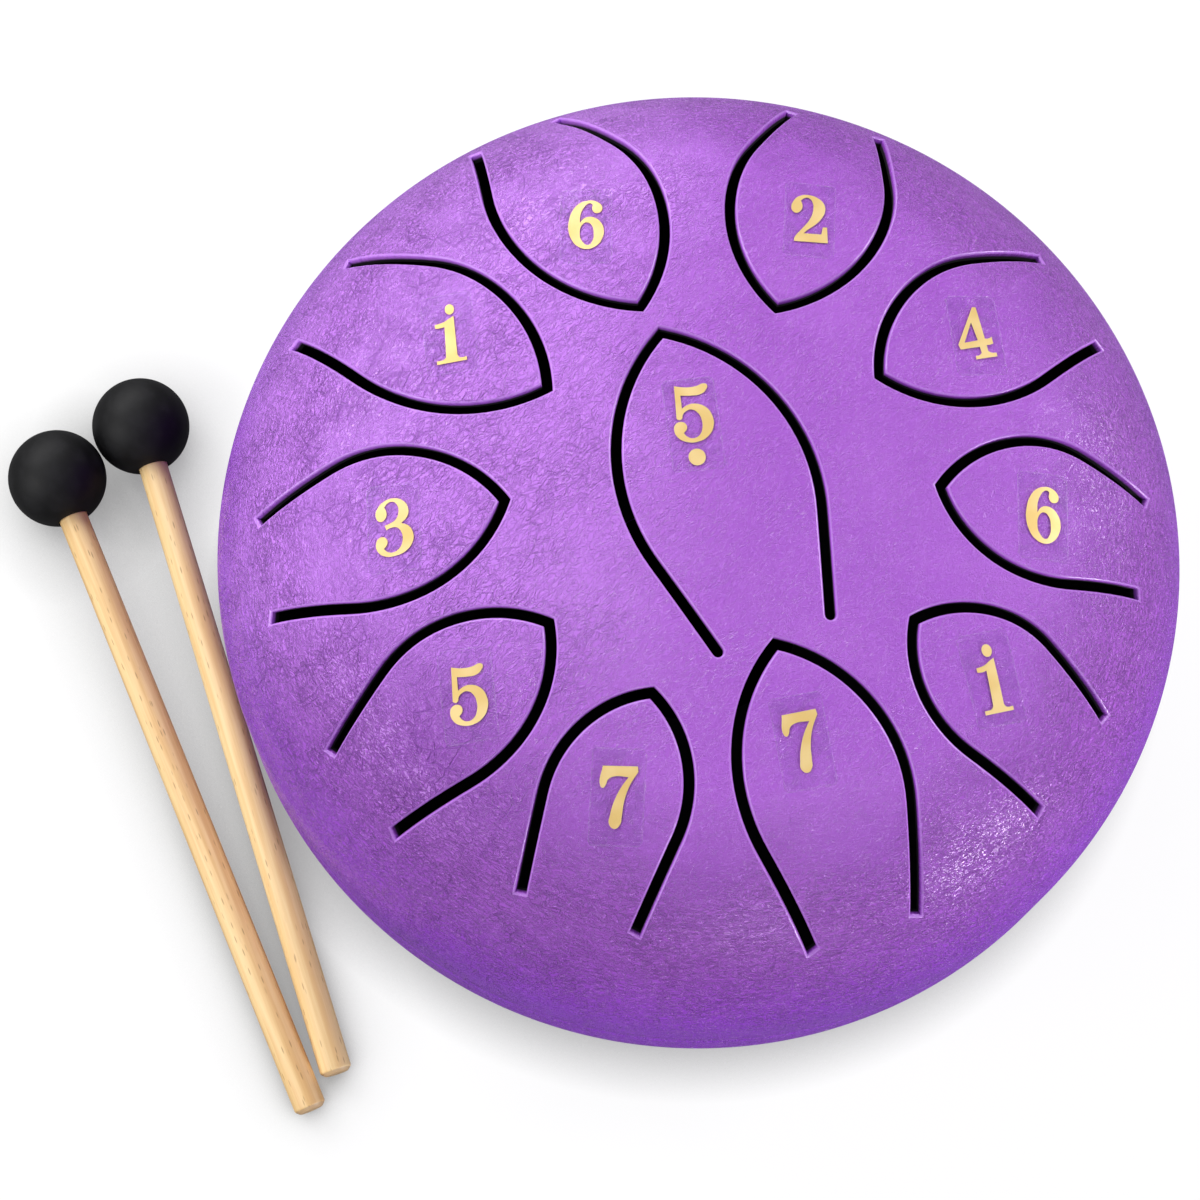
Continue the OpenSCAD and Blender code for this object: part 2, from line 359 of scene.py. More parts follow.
shell_mesh.edges.new((outer_foot, inner_foot))
full_turn(shell_mesh, turn_steps)
for vertex in shell_mesh.verts:
    vertex.co.z -= dent_at(vertex.co.x, vertex.co.y)
top_shell = new_object("drum_top", shell_mesh)

# The slots. Each tongue has its length and width in millimetres, its root's direction from the
# drum's axis, its lean off that, and its root's place and width as shares
slot_half = 1.05 * MM
widest_share = 0.52
tongues = {
    "low_5": {"size": (63.8, 37.0), "turn": (-66.6, 0.6), "root": (0.34, 0.61)},
    "2": {"size": (52.5, 31.4), "turn": (76.7, 1.6), "root": (0.884, 0.6)},
    "6_left": {"size": (54.3, 32.0), "turn": (120.1, 1.8), "root": (0.908, 0.59)},
    "high_1_left": {"size": (53.0, 30.2), "turn": (156, -1), "root": (0.891, 0.67)},
    "3": {"size": (47.8, 30.4), "turn": (-166.1, 0.4), "root": (0.883, 0.66)},
    "5": {"size": (45.4, 28.4), "turn": (-134.1, -2.6), "root": (0.889, 0.7)},
    "7_left": {"size": (40.8, 26.8), "turn": (-102.5, -1.9), "root": (0.86, 0.855)},
    "7_right": {"size": (53.7, 31.5), "turn": (-66.3, 0.7), "root": (0.897, 0.67)},
    "high_1_right": {"size": (40.0, 26.8), "turn": (-32, 0.9), "root": (0.874, 0.85)},
    "6_right": {"size": (42.8, 28.0), "turn": (-1, -2.8), "root": (0.862, 0.7)},
    "4": {"size": (48.0, 30.3), "turn": (35.3, -0.9), "root": (0.859, 0.72)},
}
lip_r = 0.55 * MM
cut_levels = [(lip_r + 0.06 * MM, 3 * MM), (lip_r + 0.06 * MM, 0.05 * MM)]
for lip_angle in (12, 30, 50, 70, 90):
    lip = math.radians(lip_angle)
    cut_levels.append((lip_r * (1 - math.sin(lip)), -lip_r * (1 - math.cos(lip))))
cut_levels.append((0, -5 * MM))
arc_steps = 26
flank_steps = 8
tip_overlap = math.radians(9)


def edges_of(parts):
    return [part for part in parts if isinstance(part, bmesh.types.BMEdge)]


def verts_of(parts):
    return [part for part in parts if isinstance(part, bmesh.types.BMVert)]


def heading(angle):
    """A unit vector in plan."""
    return Vector((math.cos(angle), math.sin(angle), 0))


def tongue_lie(name):
    """A tongue's tip in plan, the angle from there to its root, its length and its width."""
    tongue = tongues[name]
    length, width = (size * MM for size in tongue["size"])
    root_turn, lean = (math.radians(angle) for angle in tongue["turn"])
    root = heading(root_turn) * (tongue["root"][0] * drum_r)
    return root - heading(root_turn + lean) * length, root_turn + lean, length, width


def slot_cutter(name):
    """One tongue's slot as a solid: its cross section is drawn along half the slot, mirrored."""
    tip, angle, length, width = tongue_lie(name)
    root_half = width * tongues[name]["root"][1] / 2
    widest = widest_share * length
    arc_r = (widest ** 2 + (width / 2) ** 2) / width
    arc_y = width / 2 - arc_r
    to_root = Vector((length - widest, root_half - arc_y))
    flank = math.sqrt(to_root.length_squared - arc_r ** 2)
    tangent = math.atan2(to_root.y, to_root.x) + math.acos(arc_r / to_root.length)
    tip_start = math.atan2(-arc_y, -widest) + tip_overlap
    mesh = bmesh.new()
    section = []
    for side, levels in ((-1, cut_levels), (1, cut_levels[::-1])):
        for offset, level in levels:
            centre = Vector((widest, arc_y, level))
            reach = arc_r + side * (slot_half + offset)
            section.append(mesh.verts.new(centre + heading(tip_start) * reach))
    ring = [mesh.edges.new(pair) for pair in zip(section, section[1:] + section[:1])]
    sweep = tangent - tip_start
    last = swing(mesh, section + ring, (widest, arc_y, 0), sweep, arc_steps, Z_AXIS)
    across = heading(tangent)
    ahead = Vector((across.y, -across.x, 0))
    for _ in range(flank_steps):
        last = bmesh.ops.extrude_edge_only(mesh, edges=edges_of(last))["geom"]
        bmesh.ops.translate(mesh, verts=verts_of(last), vec=ahead * (flank / flank_steps))
    middle = Vector((widest, arc_y, 0)) + across * arc_r + ahead * flank
    before = 0.0
    for end_turn in (25, 50, 70, 84) if name == "low_5" else (0,):
        after = math.radians(end_turn)
        last = bmesh.ops.extrude_edge_only(mesh, edges=edges_of(last))["geom"]
        for end in verts_of(last):
            aside = (end.co - middle).dot(across) / math.cos(before)
            level = end.co.z
            forward = abs(aside) * math.sin(after) if after else abs(aside) - slot_half
            end.co = middle + across * (aside * math.cos(after)) + ahead * forward
            end.co.z = level
        before = after
    left = [end for end in verts_of(last) if (end.co - middle).dot(across) < 0]
    right = [end for end in verts_of(last) if (end.co - middle).dot(across) > 0]
    rungs = list(zip(*(sorted(ends, key=lambda end: end.co.z) for ends in (left, right))))
    for lower, upper in zip(rungs, rungs[1:]):
        mesh.faces.new((lower[0], lower[1], upper[1], upper[0]))
    bmesh.ops.bisect_plane(
        mesh, geom=whole(mesh), plane_co=(0, 0, 0), plane_no=Y_AXIS, clear_inner=True
    )
    bmesh.ops.mirror(
        mesh, geom=whole(mesh), matrix=Matrix.Identity(4), merge_dist=0.01 * MM, axis="Y"
    )
    bmesh.ops.recalc_face_normals(mesh, faces=mesh.faces)
    place = Matrix.Translation(tip) @ Matrix.Rotation(angle, 4, "Z")
    bmesh.ops.transform(mesh, matrix=place, verts=mesh.verts)
    for vertex in mesh.verts:
        level = vertex.co.z
        vertex.co.z = coat_z(vertex.co.x, vertex.co.y)
        vertex.co += sheet_normal(vertex.co) * level
    return mesh


slot_cutters = [new_object("slot_cutter_" + name, slot_cutter(name)) for name in tongues]
bpy.context.view_layer.objects.active = slot_cutters[0]
with bpy.context.temp_override(
    active_object=slot_cutters[0], selected_editable_objects=slot_cutters
):
    bpy.ops.object.join()
slot_cut = top_shell.modifiers.new("slots", "BOOLEAN")
slot_cut.object = slot_cutters[0]
slot_cut.solver = "EXACT"
slot_cut.use_self = True
evaluated = top_shell.evaluated_get(bpy.context.evaluated_depsgraph_get())
cut_mesh = bmesh.new()
cut_mesh.from_mesh(evaluated.to_mesh())
top_shell.modifiers.clear()
bpy.data.objects.remove(slot_cutters[0])
# The boolean gives its parts in any order. They are sorted, so that each run merges the same ones
sort_along = Vector((0.83, 0.51, 0.23))
cut_mesh.verts.sort(key=lambda vertex: vertex.co.dot(sort_along))
cut_mesh.edges.sort(key=lambda edge: (edge.verts[0].co + edge.verts[1].co).dot(sort_along))
cut_mesh.faces.sort(key=lambda face: face.calc_center_median().dot(sort_along))
bmesh.ops.remove_doubles(cut_mesh, verts=cut_mesh.verts, dist=0.004 * MM)
bmesh.ops.dissolve_degenerate(cut_mesh, dist=0.002 * MM, edges=cut_mesh.edges)
shade(cut_mesh)
cut_mesh.to_mesh(top_shell.data)
cut_mesh.free()
shading = top_shell.modifiers.new("even_shading", "WEIGHTED_NORMAL")
shading.keep_sharp = True
shading.weight = 100

coat_color = (0.365, 0.092, 0.6, 1)
coat_pale = (0.4, 0.11, 0.64, 1)
coat_painted_crease_shade = (0.2, 0.04, 0.4, 1)
coat_painted_ridge_highlight = (0.62, 0.21, 0.94, 1)
coat_painted_low_shade = (0.35, 0.028, 0.86, 1)
coat_painted_left_sheen = (0.57, 0.215, 0.87, 1)
painted_low_shade_band = (40 * MM, 78 * MM)
coat_roughness = 0.22
wrinkle_fineness = 1 / (0.56 * MM)
wrinkle_depth = 0.45 * MM
rim_wrap = drum_r / 1.9
coat_painted_inner_shade = (0.002, 0.0015, 0.003, 1)
painted_shade_depths = (0.7 * MM, 1.4 * MM)
lip_painted_highlight = (0.62, 0.42, 0.84, 1)
rim_start = 58 * MM
rim_full = 86 * MM
left_pads = (-34 * MM, 8 * MM)
painted_sheen_fade = (-62 * MM, -20 * MM)
pad_size = 3.1 * MM
pad_turn = math.radians(45)
broad_size = 24 * MM
patch_size = 9 * MM
wander_reach = 15 * MM
wrinkle_turn = math.radians(52)
wrinkle_stretch = 1.9
drift_reach = 2.2
lip_highlight_share = 0.22
crease_share = 0.36


def shader_group(name, number, start, results):
    """Starts a node group that takes a Vector and one number, and gives numbers by name."""
    tree = bpy.data.node_groups.new(name, "ShaderNodeTree")
    tree.interface.new_socket(name="Vector", in_out="INPUT", socket_type="NodeSocketVector")
    socket = tree.interface.new_socket(name=number, in_out="INPUT", socket_type="NodeSocketFloat")
    socket.default_value = start
    for label in results:
        tree.interface.new_socket(name=label, in_out="OUTPUT", socket_type="NodeSocketFloat")
    return tree, tree.nodes.new("NodeGroupInput").outputs


def group_node(tree, name, values):
    """A node group's outputs."""
    group = bpy.data.node_groups[name]
    return add_node(tree, "ShaderNodeGroup", values, node_tree=group).outputs


def placed_node(tree, vector, rotation, scale=(1, 1, 1), location=(0, 0, 0)):
    """A place as coordinates see it that are moved, turned and stretched themselves."""
    values = {"Vector": vector, "Location": location, "Rotation": rotation, "Scale": scale}
    return add_node(tree, "ShaderNodeMapping", values, vector_type="TEXTURE").outputs[0]


def noise_node(tree, place, scale, detail, **sockets):
    """A noise texture's value."""
    values = {"Vector": place, "Scale": scale, "Detail": detail, **sockets}
    return add_node(tree, "ShaderNodeTexNoise", values).outputs[0]


def bump_normal(tree, height, distance, strength):
    """The normal of a relief that stands as high as distance where height is 1."""
    values = {"Height": height, "Distance": distance, "Strength": strength}
    return add_node(tree, "ShaderNodeBump", values).outputs[0]


# Wrinkles of a stoved coat: short worm-like ridges, crossed by long thin creases
tree, inside = shader_group("coat_wrinkles", "Fineness", 900.0, ("Ridge", "Crease"))
fineness = inside["Fineness"]
drift_scale = times(tree, fineness, 0.35)
drift_values = {"Vector": inside["Vector"], "Scale": drift_scale, "Detail": 1.0}
drift = add_node(tree, "ShaderNodeTexNoise", drift_values).outputs["Color"]
drift_length = math_node(tree, "DIVIDE", drift_reach, fineness)
drift_vector = vector_node(tree, "SCALE", drift, scale=drift_length)
drifted = vector_node(tree, "ADD", inside["Vector"], drift_vector)
worms = noise_node(tree, drifted, fineness, 1.2)
worm_line = math_node(tree, "ABSOLUTE", math_node(tree, "SUBTRACT", worms, 0.5))
worm_ridge = ramp(tree, worm_line, 0.0, 0.09, 1, 0)
folds = noise_node(tree, drifted, times(tree, fineness, 0.42), 2.0)
fold = math_node(tree, "ABSOLUTE", math_node(tree, "SUBTRACT", folds, 0.5))
add_node(tree, "NodeGroupOutput", {
    "Ridge": math_node(tree, "MULTIPLY_ADD", worms, 0.5, worm_ridge),
    "Crease": ramp(tree, fold, 0.0, 0.045),
})

# The coat over the whole drum: in the middle the wrinkles run up to the right, near the rim
# they lie round the drum, where the pressing stretched the sheet, and on the left the coat has
# dried in small pads
tree, inside = shader_group(
    "coat_relief", "Fineness", 900.0, ("Height", "Ridge", "Crease", "Tone", "Left")
)
place = inside["Vector"]
flat_place = vector_node(tree, "MULTIPLY", place, (1, 1, 0))
axis_distance = vector_node(tree, "LENGTH", flat_place)
direction = vector_node(tree, "NORMALIZE", flat_place)
round_place = vector_node(tree, "SCALE", direction, scale=rim_wrap)
split_place = split_node(tree, place)
under_seam = math_node(tree, "LESS_THAN", split_place["Z"], seam_z)
from_edge = math_node(tree, "MULTIPLY_ADD", axis_distance, -2, 2 * drum_r)
turned_under = times(tree, under_seam, from_edge)
to_seam = math_node(tree, "SUBTRACT", axis_distance, split_place["Z"])
down_profile = math_node(tree, "ADD", to_seam, turned_under)
down_vector = add_node(tree, "ShaderNodeCombineXYZ", {"Z": down_profile}).outputs[0]
rim_place = vector_node(tree, "ADD", round_place, down_vector)
middle_place = placed_node(tree, place, (0, 0, wrinkle_turn), (wrinkle_stretch, 1, 1))
layers = []
for layer_place in (middle_place, rim_place):
    layer_values = {"Vector": layer_place, "Fineness": inside["Fineness"]}
    layers.append(group_node(tree, "coat_wrinkles", layer_values))
broad = noise_node(tree, place, 1 / broad_size, 2.0)
wander = math_node(tree, "MULTIPLY_ADD", broad, 2 * wander_reach, -wander_reach)
rim_distance = math_node(tree, "ADD", axis_distance, wander)
rim_mask = ramp(tree, rim_distance, rim_start, rim_full)
left_distance = math_node(tree, "ADD", split_place["X"], wander)
left_mask = ramp(tree, left_distance, *left_pads, 1, 0)
mixed = {}
for label in ("Ridge", "Crease"):
    shares = {0: rim_mask, 2: layers[0][label], 3: layers[1][label]}
    mixed[label] = add_node(tree, "ShaderNodeMix", shares).outputs[0]
patches = noise_node(tree, place, 1 / patch_size, 1.0)
pad_place = placed_node(tree, place, (0, 0, pad_turn), (1.4, 1, 1))
pad_values = {"Vector": pad_place, "Scale": 1 / pad_size}
pad_cells = add_node(
    tree, "ShaderNodeTexVoronoi", pad_values, feature="DISTANCE_TO_EDGE"
).outputs["Distance"]
pad_crack = ramp(tree, pad_cells, 0.0, 0.055, 1, 0)
pad_patch = times(tree, ramp(tree, patches, 0.46, 0.6), left_mask)
cracks = times(tree, pad_crack, pad_patch)
patch_gain = ramp(tree, patches, 0.25, 0.7, 0.65, 1.0)
gains = []
for left_share, even_share, full_share in ((0.7, 0.32, 1.0), (0.68, 0.42, 1.4)):
    side_share = math_node(tree, "MAXIMUM", times(tree, left_mask, left_share), rim_mask)
    share = math_node(tree, "MULTIPLY_ADD", side_share, full_share - even_share, even_share)
    gains.append(times(tree, patch_gain, share))
height_gain, tint_gain = gains
open_crease = math_node(tree, "SUBTRACT", mixed["Crease"], cracks)
ridge_height = times(tree, mixed["Ridge"], 0.6)
relief = math_node(tree, "MULTIPLY_ADD", open_crease, 0.4, ridge_height)
ridge_top = ramp(tree, mixed["Ridge"], 0.8, 1.25)
crease_bottom = ramp(tree, open_crease, 0, 1, 1, 0)
add_node(tree, "NodeGroupOutput", {
    "Height": times(tree, relief, height_gain),
    "Ridge": times(tree, ridge_top, tint_gain),
    "Crease": times(tree, crease_bottom, tint_gain),
    "Tone": broad,
    "Left": left_mask,
})


def principled(tree, values):
    """A Principled BSDF wired to the material's output."""
    show(tree, add_node(tree, "ShaderNodeBsdfPrincipled", values))


def mix_color(tree, amount, first, second):
    """A colour mix by amount."""
    shares = {0: amount, 6: first, 7: second}
    return add_node(tree, "ShaderNodeMix", shares, data_type="RGBA").outputs[2]


# Inside the drum and deep in the slots the coat is painted near black as shade, and made fully
# rough so that it shows no reflection
base_r = 22 * MM


def sheet_depth(place):
    """How deep a place lies under the drum's outer surface."""
    radius = math.hypot(place.x, place.y)
    if place.z < base_r and radius < drum_r - base_r:
        return place.z
    if place.z < base_r:
        return base_r - math.hypot(radius - drum_r + base_r, place.z - base_r)
    if place.z < wall_top:
        return drum_r - radius
    if radius < crown_end:
        return crown_r - math.hypot(radius, place.z - crown_z)
    return shoulder_r - math.hypot(radius - shoulder_x, place.z - wall_top)


def mark_depth(mesh):
    """Writes each vertex's depth in the sheet to the mesh."""
    depths = mesh.attributes.new("sheet_depth", "FLOAT", "POINT")
    for vertex, depth in zip(mesh.vertices, depths.data):
        place = vertex.co.copy()
        if place.z > seam_z:
            place.z += dent_at(place.x, place.y)
        depth.value = sheet_depth(place)


violet_coat, tree = bare_material("violet_wrinkle_coat")
place = object_place(tree)
relief = group_node(tree, "coat_relief", {"Vector": place, "Fineness": wrinkle_fineness})
tone_share = ramp(tree, relief["Tone"], 0.3, 0.7)
tone = mix_color(tree, tone_share, coat_color, coat_pale)
split_coat = split_node(tree, place)
# painted shade: below this band the coat is painted darker and deeper violet towards the bottom
painted_low_shade_amount = ramp(tree, split_coat["Z"], *painted_low_shade_band, 1, 0)
# painted sheen: on the left, away from the front, the coat is painted paler
off_front = ramp(tree, split_coat["Y"], *painted_sheen_fade)
painted_left_sheen_tone = mix_color(tree, times(tree, relief["Left"], off_front), tone, coat_painted_left_sheen)
shaded = mix_color(tree, painted_low_shade_amount, painted_left_sheen_tone, coat_painted_low_shade)
# painted highlight: the tops of the wrinkles are painted pale, less so low on the drum
ridge_highlight_share = ramp(tree, painted_low_shade_amount, 0, 1, 0.65, 0.45)
ridge_highlight_amount = times(tree, relief["Ridge"], ridge_highlight_share)
crease_amount = times(tree, relief["Crease"], crease_share)
ridge_highlighted = mix_color(tree, ridge_highlight_amount, shaded, coat_painted_ridge_highlight)
# painted shade: the creases of the wrinkles are painted darker (they are also made rougher)
crease_shaded = mix_color(tree, crease_amount, ridge_highlighted, coat_painted_crease_shade)
depth = add_node(tree, "ShaderNodeAttribute", attribute_name="sheet_depth").outputs["Fac"]
# painted shade: deeper in the sheet the colour goes near black
painted_inner_shade_share = ramp(tree, depth, *painted_shade_depths)
# painted highlight: the rounded lips of the slots are painted paler
past_edge = ramp(tree, depth, 0.004 * MM, 0.03 * MM)
on_lip = times(tree, past_edge, ramp(tree, depth, 0.12 * MM, 0.4 * MM, 1, 0))
lip_highlighted = mix_color(tree, times(tree, on_lip, lip_highlight_share), crease_shaded, lip_painted_highlight)
flat_share = ramp(tree, depth, 0.004 * MM, 0.05 * MM, 1, 0)
coat_rough = math_node(tree, "MULTIPLY_ADD", crease_amount, 0.4, coat_roughness)
principled(tree, {
    "Base Color": mix_color(tree, painted_inner_shade_share, lip_highlighted, coat_painted_inner_shade),
    "Roughness": math_node(tree, "MAXIMUM", coat_rough, painted_inner_shade_share),
    "Normal": bump_normal(tree, relief["Height"], wrinkle_depth, flat_share),
    "Specular IOR Level": 0.42,
})
mark_depth(top_shell.data)
top_shell.data.materials.append(violet_coat)
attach(top_shell, "drum")
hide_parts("top_shell")


# The bottom shell is a pan pressed from the same sheet: a short wall, a rounded edge and a
# flat underside with one round sound hole. It carries the same coat inside and out.
hole_r = frame["record"]["mounts"][0]["dims"]["r_mm"] * MM
base_steps = 26
hole_edge_bevel = 0.4 * MM

pan_mesh = bmesh.new()
groove = pan_mesh.verts.new((drum_r - weld_depth, 0, seam_z))
outer_wall = draw_to(pan_mesh, groove, (drum_r, 0, seam_z - weld_w / 2))
outer_wall = draw_to(pan_mesh, outer_wall, (drum_r, 0, base_r), wall_steps)
base_centre = (drum_r - base_r, 0, base_r)
outer_base = swing(pan_mesh, [outer_wall], base_centre, math.pi / 2, base_steps)[0]
hole_low = draw_to(pan_mesh, outer_base, (hole_r, 0, 0), 12)
hole_high = draw_to(pan_mesh, hole_low, (hole_r, 0, sheet_t))
inner_base = draw_to(pan_mesh, hole_high, (drum_r - base_r, 0, sheet_t), 12)
inner_wall = swing(pan_mesh, [inner_base], base_centre, -math.pi / 2, base_steps)[0]
inner_wall = draw_to(pan_mesh, inner_wall, (drum_r - sheet_t, 0, seam_z), wall_steps)
pan_mesh.edges.new((inner_wall, groove))
full_turn(pan_mesh, turn_steps)
hole_edges = [
    edge for edge in pan_mesh.edges
    if all(abs(math.hypot(v.co.x, v.co.y) - hole_r) < MM / 100 for v in edge.verts)
    and abs(edge.verts[0].co.z - edge.verts[1].co.z) < MM / 100
]
round_off(pan_mesh, hole_edges, hole_edge_bevel, 4)
bottom_shell = new_object("drum_bottom", pan_mesh, violet_coat)
# its depth mark paints the pan's inner side near black as shade
mark_depth(bottom_shell.data)
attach(bottom_shell, "drum")
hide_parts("bottom_shell")


# The seam weld joins the rims of the two shells. It is ground back flush before the coat goes
# on, so only a low, slightly uneven ridge shows between two shallow furrows.
weld_crown = 0.03 * MM
weld_steps = 288
weld_unevenness = 0.008 * MM

weld_mesh = bmesh.new()
weld_root = weld_mesh.verts.new((drum_r - weld_depth, 0, seam_z))
bead_half = weld_w / 2 - weld_crown
bead_r = (bead_half ** 2 + weld_crown ** 2) / (2 * weld_crown)
bead_centre = (drum_r - bead_r, 0, seam_z)
bead_angle = math.asin(bead_half / bead_r)
bead_foot = draw_to(weld_mesh, weld_root, (drum_r - weld_crown, 0, seam_z - bead_half))
bead_top = swing(weld_mesh, [bead_foot], bead_centre, -2 * bead_angle, 6)[0]
weld_mesh.edges.new((bead_top, weld_root))
full_turn(weld_mesh, weld_steps)
for vertex in weld_mesh.verts:
    out = math.hypot(vertex.co.x, vertex.co.y)
    proud = max(0.0, out - drum_r + weld_crown) / weld_crown
    ripple = (noise.noise(vertex.co / (2.2 * MM)) - 1) * weld_unevenness * proud
    vertex.co.x *= 1 + ripple / out
    vertex.co.y *= 1 + ripple / out
weld = new_object("seam_bead", weld_mesh, violet_coat)
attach(weld, "drum")
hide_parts("seam_weld")


# Three discs of white double-sided foam tape hold the feet. They stay as the imported model has
# them, and get the fine cells of cut foam, with painted shade in the pits of the cells.
foam_color = (0.78, 0.77, 0.74, 1)
foam_painted_pit_shade = (0.6, 0.59, 0.56, 1)
foam_cell = 1 / (0.25 * MM)

foam_tape, tree = bare_material("foam_tape")
cell_values = {"Vector": object_place(tree), "Scale": foam_cell}
cells = add_node(tree, "ShaderNodeTexVoronoi", cell_values).outputs["Distance"]
principled(tree, {
    "Base Color": mix_color(tree, ramp(tree, cells, 0.1, 0.7), foam_painted_pit_shade, foam_color),
    "Roughness": 0.85,
    "Normal": bump_normal(tree, cells, 0.06 * MM, 0.8),
})
for side in ("back", "left", "right"):
    pad = frame["nodes"]["adhesive_" + side]
    pad.data.materials.clear()
    pad.data.materials.append(foam_tape)


# Three stick-on rubber feet stand under the drum. They are moulded in black rubber with a
# rounded lower edge, and pick up a little dust.
foot_black = (0.022, 0.022, 0.024, 1)
foot_dust = (0.075, 0.072, 0.07, 1)
foot_grain = 1 / (0.35 * MM)

foot_rubber, tree = bare_material("foot_rubber")
place = object_place(tree)
grain = noise_node(tree, place, foot_grain, 3.0)
dust = noise_node(tree, place, 1 / (3 * MM), 4.0)
principled(tree, {
    "Base Color": mix_color(tree, ramp(tree, dust, 0.52, 0.75), foot_black, foot_dust),
    "Roughness": ramp(tree, grain, 0.3, 0.7, 0.62, 0.78),
    "Normal": bump_normal(tree, grain, 0.03 * MM, 0.6),
})
for side in ("back", "left", "right"):
    foot = frame["nodes"]["foot_" + side]
    foot.data.materials.clear()
    foot.data.materials.append(foot_rubber)


# Eleven clear films are stuck on the tongues, one on each. They are cut from thin glossy
# vinyl with rounded corners, and hug the coat, so that only their edges show.
film_w = 10.2 * MM
film_h = 17.5 * MM
low_film_h = 19 * MM
film_corner_r = 1 * MM
film_lift = 0.05 * MM
film_t = 0.12 * MM
film_mesh_step = 0.9 * MM
film_color = (0.3, 0.14, 0.5, 1)
film_edge_color = (0.72, 0.52, 0.92, 1)
labels = {
    "low_5": {"along": 0.32, "aside": -0.04, "turn": 11.6},
    "2": {"along": 0.41, "aside": -0.07, "turn": 0.7},
    "6_left": {"along": 0.39, "aside": 0.06, "turn": 4.7},
    "high_1_left": {"along": 0.43, "aside": -0.09, "turn": 12},
    "3": {"along": 0.45, "aside": 0.07, "turn": 7.9},
    "5": {"along": 0.44, "aside": 0.07, "turn": 11.5},
    "7_left": {"along": 0.49, "aside": 0.02, "turn": 2.1},
    "7_right": {"along": 0.35, "aside": -0.09, "turn": 15.9},
    "high_1_right": {"along": 0.45, "aside": 0.02, "turn": 19.3},
    "6_right": {"along": 0.48, "aside": -0.12, "turn": 3.3},
    "4": {"along": 0.46, "aside": -0.06, "turn": 10.7},
}


def label_place(name):
    """The matrix that lays a flat label in plan on its tongue."""
    tip, angle, length, width = tongue_lie(name)
    label = labels[name]
    ahead = heading(angle)
    left = Vector((-ahead.y, ahead.x, 0))
    middle = tip + ahead * (label["along"] * length) + left * (label["aside"] * width / 2)
    return Matrix.Translation(middle) @ Matrix.Rotation(math.radians(label["turn"]), 4, "Z")


def cut_grid(mesh, half_w, half_h, step):
    """Cuts a flat face along a grid, so that it can follow the curved shell."""
    for normal, reach in (((1, 0, 0), half_w), ((0, 1, 0), half_h)):
        count = int(2 * reach / step)
        for line in range(1, count):
            distance = -reach + 2 * reach * line / count
            bmesh.ops.bisect_plane(
                mesh, geom=whole(mesh), plane_co=Vector(normal) * distance, plane_no=normal
            )
    bmesh.ops.remove_doubles(mesh, verts=mesh.verts, dist=0.005 * MM)


def lay_on_shell(mesh, name, lift, thickness):
    """Lays a flat mesh on the shell above a tongue and gives it its thickness upwards."""
    bmesh.ops.transform(mesh, matrix=label_place(name), verts=mesh.verts)
    for vertex in mesh.verts:
        vertex.co.z = coat_z(vertex.co.x, vertex.co.y) + lift
    bmesh.ops.recalc_face_normals(mesh, faces=mesh.faces)
    if sum(face.normal.z for face in mesh.faces) < 0:
        bmesh.ops.reverse_faces(mesh, faces=mesh.faces)
    raised = bmesh.ops.extrude_face_region(mesh, geom=mesh.faces[:])["geom"]
    bmesh.ops.translate(mesh, verts=verts_of(raised), vec=(0, 0, thickness))
    bmesh.ops.recalc_face_normals(mesh, faces=mesh.faces)


clear_film, tree = bare_material("clear_film")
film_uv = add_node(tree, "ShaderNodeUVMap", uv_map="film").outputs[0]
from_middle = vector_node(tree, "ABSOLUTE", vector_node(tree, "SUBTRACT", film_uv, (0.5, 0.5, 0)))
sides = split_node(tree, from_middle)
edge_x = ramp(tree, sides["X"], 0.462, 0.497)
edge_y = ramp(tree, sides["Y"], 0.478, 0.498)
film_edge = math_node(tree, "MAXIMUM", edge_x, edge_y)
bubbles = noise_node(tree, object_place(tree), 1 / (2.6 * MM), 2.0)
film_haze = ramp(tree, bubbles, 0.4, 0.7, 0.03, 0.1)
principled(tree, {
    "Base Color": mix_color(tree, film_edge, film_color, film_edge_color),
    "Roughness": ramp(tree, bubbles, 0.3, 0.7, 0.12, 0.22),
    "Alpha": math_node(tree, "MULTIPLY_ADD", film_edge, 0.06, film_haze),
    "Normal": bump_normal(tree, bubbles, 0.12 * MM, 0.5),
})
for name in labels:
    height = low_film_h if name == "low_5" else film_h
    film_mesh = bmesh.new()
    bmesh.ops.create_grid(film_mesh, x_segments=1, y_segments=1, size=0.5)
    bmesh.ops.scale(film_mesh, vec=(film_w, height, 1), verts=film_mesh.verts)
    round_off(film_mesh, film_mesh.verts[:], film_corner_r, 6, "VERTICES")
    cut_grid(film_mesh, film_w / 2, height / 2, film_mesh_step)
    film_layer = film_mesh.loops.layers.uv.new("film")
    for face in film_mesh.faces:
        for corner in face.loops:
            flat = corner.vert.co
            corner[film_layer].uv = (flat.x / film_w + 0.5, flat.y / height + 0.5)
    lay_on_shell(film_mesh, name, film_lift, film_t)
    film = new_object("film_" + name, film_mesh, clear_film)
    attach(film, "drum")
    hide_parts("sticker_" + name)


